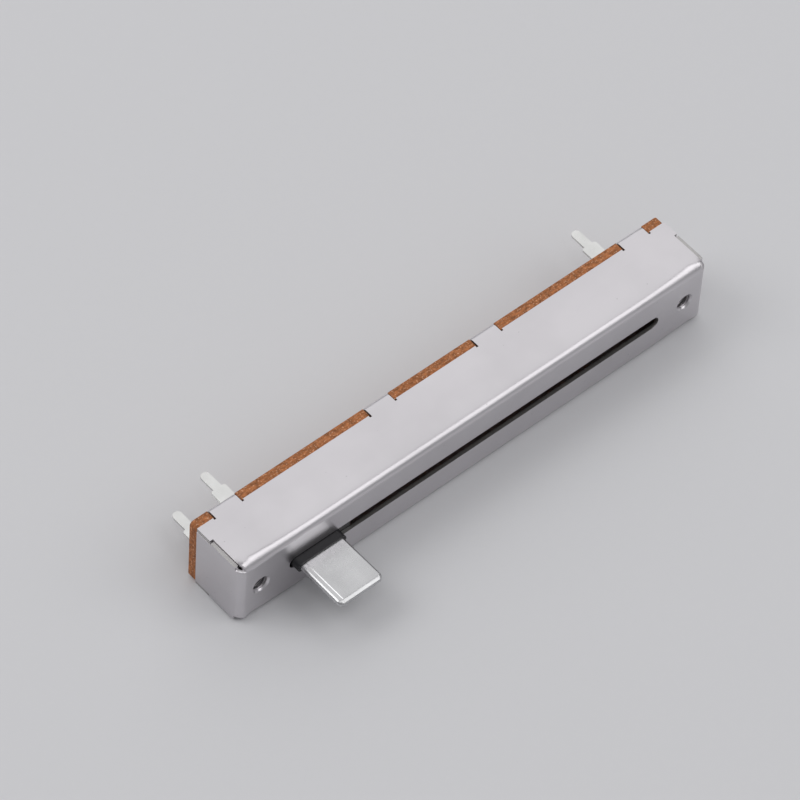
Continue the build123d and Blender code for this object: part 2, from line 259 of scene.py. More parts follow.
def finish_material(material, tone, roughness, relief=None, metallic=0.0, others=None):
    """Ends the tree with the shader; what is the same all over is set on its own sockets."""
    values = {"Base Color": tone, "Roughness": roughness, "Metallic": metallic, **(others or {})}
    if relief is not None:
        values["Normal"] = relief
    shader = add_node(material.node_tree, "BsdfPrincipled", values)
    add_node(material.node_tree, "OutputMaterial", {"Surface": shader.outputs["BSDF"]})
    return material


def laid_out(tree, place, size_mm, stretch=(1, 1, 1), turn=0.0, shift_mm=(0, 0, 0)):
    """Coordinates in steps of size_mm, drawn out along axes and turned about Y."""
    shift, rotation = [s * MM for s in shift_mm], (0, math.radians(turn), 0)
    turned = add_node(tree, "Mapping", {"Location": shift, "Rotation": rotation, "Vector": place})
    scale = 1 / (size_mm * MM)
    values = {"Scale": [scale / s for s in stretch], "Vector": turned.outputs["Vector"]}
    return add_node(tree, "Mapping", values).outputs["Vector"]


def noise(tree, place, size_mm, detail=2.0, **layout):
    """Noise whose features are about size_mm across."""
    vector = laid_out(tree, place, size_mm, **layout)
    values = {"Scale": 1.0, "Detail": detail, "Vector": vector}
    return add_node(tree, "TexNoise", values).outputs["Fac"]


def math_node(tree, operation, *values):
    """One sum on numbers, each a socket or a plain number."""
    return add_node(tree, "Math", {"operation": operation, **dict(enumerate(values))}).outputs[0]


def spread(tree, value, low, high, to_low=0.0, to_high=1.0):
    """Maps a value's stretch from low to high onto another stretch, clamped."""
    ends = {"From Min": low, "From Max": high, "To Min": to_low, "To Max": to_high}
    return add_node(tree, "MapRange", {"Value": value, **ends}).outputs["Result"]


def specks(tree, place, spacing_mm, radius_mm, share=0.5):
    """Round specks on a loose grid, of which only that share is there."""
    vector = laid_out(tree, place, spacing_mm)
    cells = add_node(tree, "TexVoronoi", {"Scale": 1.0, "Vector": vector})
    radius = radius_mm / spacing_mm
    dots = spread(tree, cells.outputs["Distance"], radius * 0.5, radius, 1.0, 0.0)
    kept = add_node(tree, "SeparateColor", {"Color": cells.outputs["Color"]})
    there = math_node(tree, "LESS_THAN", kept.outputs["Red"], share)
    return math_node(tree, "MULTIPLY", dots, there)


def hairlines(tree, place, spacing_mm, width, turn, share=0.55):
    """Fine, nearly straight scratches that run at one slant and come in patches."""
    lines = noise(tree, place, spacing_mm, 1.0, stretch=(24, 24, 1), turn=turn)
    off = math_node(tree, "ABSOLUTE", math_node(tree, "SUBTRACT", lines, 0.5))
    thin = spread(tree, off, 0.0, width, 1.0, 0.0)
    patch = noise(tree, place, 6 * spacing_mm, 1.0, shift_mm=(3, 1, 7))
    return math_node(tree, "MULTIPLY", thin, spread(tree, patch, share, share + 0.08))


def blend_colours(tree, share, *colours):
    """Mixes two colours, each a linear colour or a socket, by a share."""
    first, second = (c if isinstance(c, bpy.types.NodeSocket) else rgba(c) for c in colours)
    values = {"data_type": "RGBA", 0: share, 6: first, 7: second}
    return add_node(tree, "Mix", values).outputs[2]


def shade(colour, factor):
    """A colour made darker or lighter, kept within what a surface can be."""
    return tuple(min(1.0, c * factor) for c in colour)


def tones(tree, share, colour, dark, light):
    """The colour shaded from dark to light by a share."""
    return blend_colours(tree, share, shade(colour, dark), shade(colour, light))


def bump(tree, height, depth_mm, under=None):
    """Relief of depth_mm where the height goes from 0 to 1, over another relief if given."""
    values = {"Height": height, "Distance": depth_mm * MM, "Strength": 1.0}
    if under is not None:
        values["Normal"] = under
    return add_node(tree, "Bump", values).outputs["Normal"]


# -------- materials
def tin_plated_sheet(colour, fold, corner):
    """Cold-rolled steel strip, tin plated in the coil: a soft satin white metal with a faint
    rolling grain along its length, cloudy where it was handled, with small pits and scuffs.
    Bending stretched the outside of the folds, which are frosted and finely pitted for it."""
    material, tree, place = new_material("tin_plated_rolled_steel")
    cloud = noise(tree, place, 12.0, 3.0)
    # The grain of rolled strip is about 0.02 mm; it is drawn ten times coarser, so it shows
    grain = noise(tree, place, 0.2, 2.0, stretch=(40, 1, 1))
    pits = specks(tree, place, 1.7, 0.13, 0.3)
    scuffs = hairlines(tree, place, 0.9, 0.012, 24, 0.66)
    tone = tones(tree, spread(tree, cloud, 0.35, 0.65), colour, 0.93, 1.0)
    tone = blend_colours(tree, math_node(tree, "MULTIPLY", pits, 0.35), tone, shade(colour, 0.4))
    satin = spread(tree, grain, 0.3, 0.7, 0.28, 0.32)
    roughness = math_node(tree, "ADD", satin, math_node(tree, "MULTIPLY", scuffs, 0.06))
    axes = add_node(tree, "SeparateXYZ", {"Vector": place}).outputs
    to_sides = [
        spread(tree, math_node(tree, "ABSOLUTE", axes[axis]), wall - fold, wall - 0.6 * fold)
        for axis, wall in ((0, corner.x), (2, corner.z))
    ]
    to_web = spread(tree, axes[1], 0.6 * fold, fold, 1.0, 0.0)
    folds = math_node(tree, "MULTIPLY", math_node(tree, "MAXIMUM", *to_sides), to_web)
    roughness = math_node(tree, "ADD", roughness, math_node(tree, "MULTIPLY", folds, 0.06))
    # The stretched crystals are about 0.03 mm; they are drawn ten times coarser as well
    frost = math_node(tree, "MULTIPLY", noise(tree, place, 0.3, 3.0), folds)
    relief = bump(tree, frost, 0.012, bump(tree, grain, 0.0006))
    return finish_material(material, tone, roughness, relief, metallic=1.0)


def sheared_steel(colour):
    """Steel laid bare where the sheet was sheared and punched: greyer than the plating, with
    fine lines through the thickness from the punch."""
    material, tree, place = new_material("sheared_steel_edge")
    # A punch leaves lines of about 0.03 mm; they are drawn four times coarser, so they show
    lines = noise(tree, place, 0.12, 2.0, stretch=(1, 4, 4))
    tone = tones(tree, lines, colour, 0.7, 1.15)
    return finish_material(material, tone, 0.42, bump(tree, lines, 0.003), metallic=1.0)


def laminate_face(colour):
    """Paper-phenolic laminate pressed between polished plates: brown and lightly glossy, with
    cloudy resin, short paper fibres and a few dark flecks."""
    material, tree, place = new_material("phenolic_paper_laminate")
    resin = noise(tree, place, 4.0, 3.0)
    # Paper fibres are about 0.03 mm wide; they are drawn ten times coarser, so they show
    fibres = noise(tree, place, 0.35, 2.0, stretch=(3, 1, 1), turn=35)
    flecks = math_node(tree, "MULTIPLY", specks(tree, place, 2.1, 0.16, 0.35), 0.6)
    pale = spread(tree, fibres, 0.45, 0.75, 0.0, 0.3)
    tone = tones(tree, spread(tree, resin, 0.3, 0.7), colour, 0.85, 1.12)
    tone = blend_colours(tree, pale, tone, hex_to_linear("#B47E52"))
    tone = blend_colours(tree, flecks, tone, hex_to_linear("#4A2C1A"))
    roughness = spread(tree, fibres, 0.3, 0.7, 0.38, 0.52)
    gloss = {"Coat Weight": 0.25, "Coat Roughness": 0.2}
    return finish_material(material, tone, roughness, bump(tree, fibres, 0.006), others=gloss)


def laminate_edge(colour, ply):
    """The same laminate where it was punched: dry and fibrous, with the paper plies showing as
    fine layers and pale torn fibres between them."""
    material, tree, place = new_material("punched_laminate_edge")
    plies = noise(tree, place, ply / MM, 2.0, stretch=(14, 1, 14))
    # Torn paper is as fine as its fibres; it is drawn ten times coarser, so it shows
    crumbs = noise(tree, place, 0.42, 3.0, stretch=(1.6, 1, 1.6))
    torn = spread(tree, noise(tree, place, 0.26, 2.0, shift_mm=(5, 2, 1)), 0.56, 0.7)
    torn = math_node(tree, "MULTIPLY", torn, 0.7)
    tone = tones(tree, spread(tree, crumbs, 0.34, 0.66), colour, 0.6, 1.3)
    tone = blend_colours(tree, spread(tree, plies, 0.5, 0.7, 0.0, 0.5), tone, shade(colour, 0.5))
    tone = blend_colours(tree, torn, tone, hex_to_linear("#E0AE8C"))
    relief = bump(tree, crumbs, 0.05, bump(tree, plies, 0.03))
    return finish_material(material, tone, 0.78, relief, others={"Specular IOR Level": 0.3})


def nickel_plated_blade(colour):
    """Blanked steel, tumbled and barrel plated with nickel: an even satin sheen, a little warm,
    with faint tumbling marks in every direction."""
    material, tree, place = new_material("barrel_nickel_plated_steel")
    cloud = noise(tree, place, 3.0, 3.0)
    peened = noise(tree, place, 0.5, 2.0)
    marks = hairlines(tree, place, 0.7, 0.012, 63, 0.62)
    tone = tones(tree, spread(tree, cloud, 0.3, 0.7), colour, 0.92, 1.04)
    satin = spread(tree, peened, 0.3, 0.7, 0.26, 0.3)
    roughness = math_node(tree, "ADD", satin, math_node(tree, "MULTIPLY", marks, 0.08))
    return finish_material(material, tone, roughness, metallic=1.0)


def tinned_brass(colour):
    """Blanked brass dipped in tin: white and smooth, with a slightly uneven skin."""
    material, tree, place = new_material("hot_tinned_brass")
    skin = noise(tree, place, 0.8, 2.0)
    cloud = noise(tree, place, 2.5, 2.0)
    tone = tones(tree, spread(tree, cloud, 0.3, 0.7), colour, 0.9, 1.0)
    roughness = spread(tree, skin, 0.3, 0.7, 0.27, 0.33)
    return finish_material(material, tone, roughness, bump(tree, skin, 0.0015), metallic=1.0)


def moulded_acetal(colour):
    """Black acetal from a spark-eroded mould: waxy, with a very fine even grain."""
    material, tree, place = new_material("moulded_black_acetal")
    # Spark erosion leaves grains of about 0.03 mm; they are drawn at 0.12 mm, so they show
    grain = noise(tree, place, 0.12, 1.0)
    tone = tones(tree, noise(tree, place, 3.0, 2.0, stretch=(1, 3, 1)), colour, 0.8, 1.3)
    roughness = spread(tree, grain, 0.3, 0.7, 0.36, 0.5)
    relief = bump(tree, grain, 0.006)
    return finish_material(material, tone, roughness, relief, others={"IOR": 1.48})


def rolled_strip(name, colour, roughness):
    """Bare spring strip, rolled bright: fine grain along the strip and a few darker patches."""
    material, tree, place = new_material(name)
    # The grain of rolled strip is about 0.02 mm; it is drawn five times coarser, so it shows
    grain = noise(tree, place, 0.1, 2.0, stretch=(20, 1, 1))
    stain = noise(tree, place, 1.8, 3.0)
    tone = tones(tree, spread(tree, stain, 0.4, 0.75), colour, 1.0, 0.78)
    gloss = spread(tree, grain, 0.3, 0.7, roughness - 0.05, roughness + 0.06)
    return finish_material(material, tone, gloss, bump(tree, grain, 0.003), metallic=1.0)


def printed_ink(name, colour, metallic, roughness):
    """Screen-printed and baked ink: matt, with the mesh of the screen just showing and faint
    streaks along the travel where the wiper has burnished it."""
    material, tree, place = new_material(name)
    mesh = noise(tree, place, 0.15, 0.0)
    streaks = noise(tree, place, 0.25, 2.0, stretch=(80, 1, 1))
    tone = tones(tree, spread(tree, streaks, 0.45, 0.7), colour, 1.0, 1.3)
    gloss = spread(tree, streaks, 0.4, 0.7, roughness, roughness - 0.15)
    return finish_material(material, tone, gloss, bump(tree, mesh, 0.008), metallic=metallic)


def matt_paper(colour):
    """A sweep of matt paper: nearly even, with faint clouds of fibre in its tone."""
    material, tree, place = new_material("matt_paper_sweep")
    tone = tones(tree, noise(tree, place, 1.2, 3.0), colour, 0.985, 1.0)
    return finish_material(material, tone, 0.7, others={"Specular IOR Level": 0.2})


# -------- modelling helpers
def only(piece):
    """Makes piece the one selected and active object."""
    bpy.ops.object.select_all(action="DESELECT")
    bpy.context.view_layer.objects.active = piece
    piece.select_set(True)


@contextmanager
def editing(piece, mode="FACE"):
    """Edit mode on one piece, with nothing selected at first."""
    only(piece)
    bpy.ops.object.mode_set(mode="EDIT")
    bpy.ops.mesh.select_mode(type=mode)
    bpy.ops.mesh.select_all(action="DESELECT")
    yield
    bpy.ops.object.mode_set(mode="OBJECT")


def choose(piece, kind, test):
    """In edit mode, selects just the faces, edges or verts that pass the test."""
    mesh = bmesh.from_edit_mesh(piece.data)
    for element in (*mesh.faces, *mesh.edges, *mesh.verts):
        element.select = False
    chosen = [element for element in getattr(mesh, kind) if test(element)]
    if not chosen:
        raise RuntimeError("%s has no %s at the place asked for" % (piece.name, kind))
    for element in chosen:
        element.select_set(True)
    bmesh.update_edit_mesh(piece.data)


def round_edges(piece, radius, segments, test):
    """In edit mode, rounds just the edges that pass the test."""
    choose(piece, "edges", test)
    bpy.ops.mesh.bevel(offset=radius, segments=segments, affect="EDGES")


def middle(edge):
    """The place halfway along an edge."""
    return (edge.verts[0].co + edge.verts[1].co) / 2


def runs_along(edge, axis):
    """True if the edge lies along the axis, 0, 1 or 2."""
    run = edge.verts[1].co - edge.verts[0].co
    return abs(run[axis]) > 0.999 * run.length


def near(value, wanted, tolerance=0.005 * MM):
    """True if the value is within the tolerance of the one wanted."""
    return abs(value - wanted) < tolerance


def cut_across(axis, place, **settings):
    """In edit mode, adds edges all round the piece where a plane across the axis meets it."""
    normal = Vector([float(index == axis) for index in range(3)])
    bpy.ops.mesh.select_all(action="SELECT")
    bpy.ops.mesh.bisect(plane_co=normal * place, plane_no=normal, **settings)


def ramp(value, start, end):
    """0 up to start, 1 from end on, and in proportion between them."""
    return min(1.0, max(0.0, (value - start) / (end - start)))


def new_block(name, low, high):
    """A box between two corners, its place in its mesh."""
    low, high = Vector(low), Vector(high)
    bpy.ops.object.select_all(action="DESELECT")
    bpy.ops.mesh.primitive_cube_add(size=1, location=(low + high) / 2, scale=high - low)
    bpy.ops.object.transform_apply(location=True, rotation=True, scale=True)
    bpy.context.object.name = name
    return bpy.context.object


def new_cutter(name, centre, radius, axis, segments=48):
    """A round rod about an axis, 'Y' or 'Z', long enough to cut right through a sheet."""
    bpy.ops.object.select_all(action="DESELECT")
    turn = (math.pi / 2, 0, 0) if axis == "Y" else (0, 0, 0)
    bpy.ops.mesh.primitive_cylinder_add(
        vertices=segments, radius=radius, depth=CUTTER_LENGTH, location=centre, rotation=turn
    )
    bpy.ops.object.transform_apply(location=True, rotation=True, scale=True)
    bpy.context.object.name = name
    return bpy.context.object


def join_flat_faces():
    """In edit mode, joins the faces of each flat area into one."""
    bpy.ops.mesh.select_all(action="SELECT")
    bpy.ops.mesh.dissolve_limited(angle_limit=math.radians(0.5))


def copy_of_piece(piece, name):
    """A copy of a piece, with a mesh of its own."""
    copy = bpy.data.objects.new(name, piece.data.copy())
    bpy.context.scene.collection.objects.link(copy)
    return copy


def copy_of_node(node_name, piece_name):
    """A welded copy of a CAD node's mesh, its flat areas joined into single faces."""
    piece = copy_of_piece(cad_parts[node_name], piece_name)
    only(piece)
    bpy.ops.mesh.customdata_custom_splitnormals_clear()
    with editing(piece):
        bpy.ops.mesh.select_all(action="SELECT")
        bpy.ops.mesh.remove_doubles(threshold=WELD)
        join_flat_faces()
    return piece


def apply_modifier(piece, kind, **settings):
    """Adds a modifier with its settings and applies it."""
    only(piece)
    modifier = piece.modifiers.new(kind.lower(), kind)
    for name, value in settings.items():
        setattr(modifier, name, value)
    bpy.ops.object.modifier_apply(modifier=modifier.name)


def cut_away(piece, cutter):
    """Cuts one piece with another and deletes the cutter."""
    apply_modifier(piece, "BOOLEAN", object=cutter, operation="DIFFERENCE", solver="EXACT")
    bpy.data.objects.remove(cutter)


def ease_edges(piece, width, segments=2, angle=30.0):
    """Rounds every edge sharper than the angle."""
    apply_modifier(
        piece,
        "BEVEL",
        width=width,
        segments=segments,
        limit_method="ANGLE",
        angle_limit=math.radians(angle),
        miter_outer="MITER_ARC",
        use_clamp_overlap=True,
    )


def smooth(piece, angle=40.0):
    """Smooth shading that leaves the broad faces flat."""
    only(piece)
    bpy.ops.object.shade_smooth_by_angle(angle=math.radians(angle))
    apply_modifier(piece, "WEIGHTED_NORMAL", keep_sharp=True, weight=50)


def dress(piece, *materials):
    """Gives a piece its materials, in place of any that it has."""
    piece.data.materials.clear()
    for material in materials:
        piece.data.materials.append(material)


def dress_node(name, material):
    """Puts a material on a CAD node whose own shape stays."""
    dress(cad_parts[name], material)


def hand_in(piece, body, slot, *nodes):
    """Attaches a finished piece to its body and hides the CAD nodes that it stands for; slot is not
    used.
    """
    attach(piece, body)
    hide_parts(*nodes)


# -------- cover
def roll_relief_rims(cover, settings):
    """Rolls the folds' rims over at the corner reliefs, as a punch does, so that the cut face
    falls away to the outside."""
    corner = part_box("cover")[1]
    fold, rim = settings.fold_radius, corner.z - settings.relief_height
    fold_end = corner.x - fold

    def at_rim(point):
        below = rim - abs(point.z)
        return -TOUCH < below < 1.1 * settings.edge_ease and abs(point.x) > fold_end

    with editing(cover):
        choose(
            cover,
            "faces",
            lambda face: abs(face.normal.z) > 0.99 and at_rim(face.calc_center_median()),
        )
        bpy.ops.mesh.quads_convert_to_tris(ngon_method="BEAUTY")
        bpy.ops.mesh.subdivide(number_cuts=3)
    for vertex in cover.data.vertices:
        if at_rim(vertex.co):
            along = abs(vertex.co.x) - fold_end
            depth = fold - math.hypot(along, max(0.0, fold - vertex.co.y))
            # The roll fades out towards the web, whose edge stays where it is
            share = ramp(depth, settings.rim_width, 0) ** 2 * ramp(along, 0.1 * fold, 0.7 * fold)
            vertex.co.z -= math.copysign(share * settings.rim_roll, vertex.co.z)


def open_folds(cover, settings):
    """Lets the long folds open towards their ends, where the reliefs leave them free: the fold's
    section grows about its corner line, and its inside follows its outside."""
    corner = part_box("cover")[1]
    fold = settings.fold_radius
    fold_end = corner.x - fold
    # The opening is widest a little before the relief, and closes again up to it
    widest = fold_end - 1.5 * fold
    start = fold_end - settings.opening_length
    places = [start + (widest - start) * step / 6 for step in range(7)]
    places += [widest + (fold_end - widest) * step / 3 for step in (1, 2)]
    with editing(cover):
        for place in places:
            for side in (-1, 1):
                cut_across(0, side * place)
    for vertex in cover.data.vertices:
        along, across = abs(vertex.co.x), abs(vertex.co.z)
        down, out = fold - vertex.co.y, across - corner.z + fold
        if down > -TOUCH and out > -TOUCH and start < along < fold_end:
            turn = math.atan2(max(0.0, out), max(0.0, down))
            share = ramp(along, start, widest) ** 2 * ramp(along, fold_end, widest)
            growth = settings.fold_opening * share * fold
            vertex.co.y += growth * (1 - math.cos(turn))
            vertex.co.z -= math.copysign(growth * (1 - math.sin(turn)), vertex.co.z)


def bow_walls(cover, settings):
    """Lets the side walls and end flaps fall in gently towards their bends, as folded sheet
    does: a slope that starts at bow_reach from the web and grows up to it."""
    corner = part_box("cover")[1]
    steps = 7
    # The cuts stop where the folds begin, whose own edges take over
    cut_zone = 0.55 * settings.bow_reach
    with editing(cover):
        for step in range(steps):
            cut_across(1, settings.bow_reach - cut_zone * step / steps)
    for vertex in cover.data.vertices:
        run = max(0.0, settings.bow_reach - vertex.co.y)
        fall = settings.bow_slope * run * run / (2 * settings.bow_reach)
        for axis, wall in ((0, corner.x), (2, corner.z)):
            inset = wall - abs(vertex.co[axis])
            share = ramp(inset, 2 * settings.wall_depth, settings.wall_depth)
            vertex.co[axis] -= math.copysign(fall * share, vertex.co[axis])


def tap_collars(cover, settings):
    """Cuts a screw thread into both collars, by ringing each bore and pressing the rings out."""
    low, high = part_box("cover")
    bore_places = (low.x + settings.bore_margin, high.x - settings.bore_margin)

    def in_bore(point):
        return any(
            near(math.hypot(point.x - place, point.z), settings.bore_radius, 0.02 * MM)
            for place in bore_places
        )

    with editing(cover, "EDGE"):
        choose(
            cover,
            "edges",
            lambda edge: runs_along(edge, 1) and all(in_bore(v.co) for v in edge.verts),
        )
        bpy.ops.mesh.subdivide_edgering(number_cuts=settings.thread_cuts)

    rings = [v for v in cover.data.vertices if in_bore(v.co)]
    start = min(v.co.y for v in rings)
    end = max(v.co.y for v in rings)
    run_out = 0.6 * settings.thread_pitch
    for vertex in rings:
        place = min(bore_places, key=lambda x: abs(vertex.co.x - x))
        across, rise = vertex.co.x - place, vertex.co.z
        turn = math.atan2(rise, across) / math.tau
        phase = ((vertex.co.y - start) / settings.thread_pitch - turn) % 1.0
        groove = ramp(abs(phase - 0.5), GROOVE_EDGE, GROOVE_ROOT)
        fade = min(1.0, (vertex.co.y - start) / run_out, (end - vertex.co.y) / run_out)
        grown = 1 + settings.thread_depth * groove * max(0.0, fade) / settings.bore_radius
        vertex.co.x = place + across * grown
        vertex.co.z = rise * grown


def mark_sheared_faces(cover, settings):
    """Gives the second material to the faces that run through the sheet's thickness."""
    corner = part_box("cover")[1]
    sheet, back = settings.sheet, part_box("base_board")[0].y
    bore_place, slot_side = corner.x - settings.bore_margin, settings.slot_width / 2 + 0.1 * MM
    flap_end, rim_start = corner.z - settings.flap_drop, back - 0.15 * MM
    for face in cover.data.polygons:
        place = Vector([abs(c) for c in face.center])
        facing = Vector([abs(c) for c in face.normal])
        in_web = place.x < bore_place and place.z < slot_side and place.y < sheet
        slot = in_web and facing.y < 0.7
        tab_side = place.y > back and facing.x > 0.5
        rim = rim_start < face.center.y < back + TOUCH and face.normal.y > 0.5
        at_end = place.x > corner.x - sheet
        ear_end = at_end and place.z > corner.z - sheet and facing.x > 0.5
        ear_end = ear_end and place.y > back - settings.ear_depth
        flap_side = at_end and near(place.z, flap_end, 0.05 * MM)
        if slot or tab_side or rim or ear_end or flap_side:
            face.material_index = 1


class SLIDEPOT_OT_cover(bpy.types.Operator):
    """Ease the folded cover's edges and tap its collars"""

    bl_idname = "slidepot.cover"
    bl_label = "Cover"

    def execute(self, context):
        settings = context.scene.slide_pot.cover
        cover = copy_of_node("cover", "folded_cover")
        ease_edges(cover, settings.edge_ease)
        open_folds(cover, settings)
        roll_relief_rims(cover, settings)
        bow_walls(cover, settings)
        tap_collars(cover, settings)
        sheet = tin_plated_sheet(settings.sheet_colour, settings.fold_radius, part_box("cover")[1])
        dress(cover, sheet, sheared_steel(settings.shear_colour))
        mark_sheared_faces(cover, settings)
        smooth(cover)
        hand_in(cover, "housing", "plated_steel", "cover")
        return {"FINISHED"}


# -------- board and prints
class SLIDEPOT_OT_board(bpy.types.Operator):
    """Soften the punched board's edges and show its plies"""

    bl_idname = "slidepot.board"
    bl_label = "Board"

    def execute(self, context):
        settings = context.scene.slide_pot.board
        board = copy_of_node("base_board", "punched_board")
        ease_edges(board, settings.edge_ease)
        edge = laminate_edge(settings.edge_colour, settings.ply_thickness)
        dress(board, laminate_face(settings.face_colour), edge)
        for face in board.data.polygons:
            face.material_index = 0 if abs(face.normal.y) > 0.9 else 1
        smooth(board)
        hand_in(board, "housing", "phenolic_laminate", "base_board")
        return {"FINISHED"}


class SLIDEPOT_OT_prints(bpy.types.Operator):
    """Finish the printed tracks and pads"""

    bl_idname = "slidepot.prints"
    bl_label = "Prints"

    def execute(self, context):
        settings = context.scene.slide_pot.prints
        dress_node("resistive_track", printed_ink("carbon_ink", settings.carbon_colour, 0.0, 0.55))
        silver = printed_ink("silver_ink", settings.silver_colour, 0.8, 0.5)
        for name in ("collector_track", "end_pad_start", "end_pad_end"):
            dress_node(name, silver)
        return {"FINISHED"}


# -------- terminals and eyelets
def model_terminal(name, settings):
    """One terminal at the start's place: foot, bend, shoulder and narrow tip from one strip."""
    low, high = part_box("terminal_start")
    centre_x = (low.x + high.x) / 2
    bend_y = low.y + settings.sheet + settings.bend_inner
    bend_z = high.z - settings.sheet - settings.bend_inner
    terminal = new_block(name, low, (high.x, low.y + settings.sheet, bend_z))
    with editing(terminal):
        choose(terminal, "faces", lambda face: face.normal.z > 0.9)
        steps = 8
        for _ in range(steps):
            bpy.ops.mesh.extrude_region()
            bpy.ops.transform.rotate(
                value=math.radians(90 / steps),
                orient_axis="X",
                center_override=(centre_x, bend_y, bend_z),
            )
        shoulder_end = low.y + settings.shoulder_height
        bpy.ops.mesh.extrude_region_move(
            TRANSFORM_OT_translate={"value": (0, shoulder_end - bend_y, 0)}
        )
        for side in (-1, 1):
            cut_across(0, centre_x + side * settings.tip_width / 2)
        choose(
            terminal,
            "faces",
            lambda face: face.normal.y > 0.9
            and near(face.calc_center_median().x, centre_x)
            and near(face.calc_center_median().y, shoulder_end),
        )
        bpy.ops.mesh.extrude_region_move(
            TRANSFORM_OT_translate={"value": (0, high.y - shoulder_end, 0)}
        )
        join_flat_faces()
    with editing(terminal, "EDGE"):
        round_edges(
            terminal,
            settings.tip_radius,
            8,
            lambda edge: runs_along(edge, 2) and near(middle(edge).y, high.y),
        )
        round_edges(
            terminal,
            settings.shoulder_radius,
            4,
            lambda edge: runs_along(edge, 2)
            and near(middle(edge).y, shoulder_end)
            and near(abs(middle(edge).x - centre_x), (high.x - low.x) / 2),
        )
        round_edges(
            terminal,
            settings.foot_radius,
            8,
            lambda edge: runs_along(edge, 1) and near(middle(edge).z, low.z),
        )
    return terminal


class SLIDEPOT_OT_terminals(bpy.types.Operator):
    """Blank and bend the three terminals"""

    bl_idname = "slidepot.terminals"
    bl_label = "Terminals"

    def execute(self, context):
        settings = context.scene.slide_pot.terminals
        eyelets = context.scene.slide_pot.eyelets
        first = model_terminal("terminal_blade_start", settings)
        hole_centre = sum(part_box("eyelet_start"), Vector()) / 2
        hole_radius = eyelets.shank_radius + settings.eyelet_clearance
        cut_away(first, new_cutter("eyelet_cutter", hole_centre, hole_radius, "Y"))
        ease_edges(first, settings.edge_ease)
        dress(first, tinned_brass(settings.colour))
        start_low, start_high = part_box("terminal_start")
        for name in ("wiper", "end"):
            low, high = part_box("terminal_" + name)
            piece = copy_of_piece(first, "terminal_blade_" + name)
            shift = low.x - start_low.x
            turned = near(high.z, -start_low.z)
            for vertex in piece.data.vertices:
                if turned:
                    vertex.co.x = start_low.x + start_high.x - vertex.co.x
                    vertex.co.z = -vertex.co.z
                vertex.co.x += shift
            smooth(piece)
            hand_in(piece, "housing", "tinned_brass", "terminal_" + name)
        smooth(first)
        hand_in(first, "housing", "tinned_brass", "terminal_start")
        return {"FINISHED"}


def model_eyelet(name, settings):
    """One eyelet at the start's place, drawn out ring by ring from a circle: a flat flange
    inside the board, and outside it a rolled rim whose bore opens like a trumpet."""
    low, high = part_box("eyelet_start")
    axis_x, axis_z = (low.x + high.x) / 2, (low.z + high.z) / 2
    outer = (high.x - low.x) / 2
    bore, shank, flange = settings.bore_radius, settings.shank_radius, settings.flange
    roll = flange / 2
    back = high.y - flange
    ease = settings.flange_ease
    section = [(bore, low.y), (outer - ease, low.y), (outer, low.y + ease)]
    section += [(outer, low.y + flange - ease / 2), (outer - ease / 2, low.y + flange)]
    section += [(shank, low.y + flange), (shank, back), (outer - roll, back)]
    roll_steps = 9
    for step in range(1, roll_steps):
        angle = math.pi * step / roll_steps
        rise = roll * (1 - math.cos(angle))
        section.append((outer - roll + roll * math.sin(angle), back + rise))
    mouth = shank + settings.mouth_flare
    flare = mouth - bore
    section += [(outer - roll, high.y), (mouth, high.y)]
    mouth_steps = 8
    for step in range(1, mouth_steps):
        angle = math.pi / 2 * step / mouth_steps
        section.append((mouth - flare * math.sin(angle), high.y - flare * (1 - math.cos(angle))))
    section += [(bore, high.y - flare), (bore, low.y)]
    bpy.ops.object.select_all(action="DESELECT")
    place, turn = (axis_x, low.y, axis_z), (math.pi / 2, 0, 0)
    bpy.ops.mesh.primitive_circle_add(
        vertices=settings.steps, radius=bore, location=place, rotation=turn
    )
    bpy.ops.object.transform_apply(location=True, rotation=True, scale=True)
    eyelet = bpy.context.object
    eyelet.name = name
    with editing(eyelet, "EDGE"):
        bpy.ops.mesh.select_all(action="SELECT")
        for (radius, y), (next_radius, next_y) in zip(section, section[1:]):
            growth = next_radius / radius
            bpy.ops.mesh.extrude_edges_move(TRANSFORM_OT_translate={"value": (0, next_y - y, 0)})
            bpy.ops.transform.resize(
                value=(growth, 1, growth), center_override=(axis_x, next_y, axis_z)
            )
        bpy.ops.mesh.select_all(action="SELECT")
        bpy.ops.mesh.remove_doubles(threshold=WELD)
        bpy.ops.mesh.normals_make_consistent(inside=False)
    return eyelet


class SLIDEPOT_OT_eyelets(bpy.types.Operator):
    """Turn and clench the three eyelets"""

    bl_idname = "slidepot.eyelets"
    bl_label = "Eyelets"

    def execute(self, context):
        settings = context.scene.slide_pot.eyelets
        colour = context.scene.slide_pot.terminals.colour
        first = model_eyelet("clenched_eyelet_start", settings)
        # The terminals' tinning, which their operator makes if it ran first
        dress(first, bpy.data.materials.get("hot_tinned_brass") or tinned_brass(colour))
        smooth(first)
        hand_in(first, "housing", "tinned_brass", "eyelet_start")
        for name in ("wiper", "end"):
            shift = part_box("eyelet_" + name)[0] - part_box("eyelet_start")[0]
            piece = copy_of_piece(first, "clenched_eyelet_" + name)
            piece.data.transform(Matrix.Translation(shift))
            hand_in(piece, "housing", "tinned_brass", "eyelet_" + name)
        return {"FINISHED"}


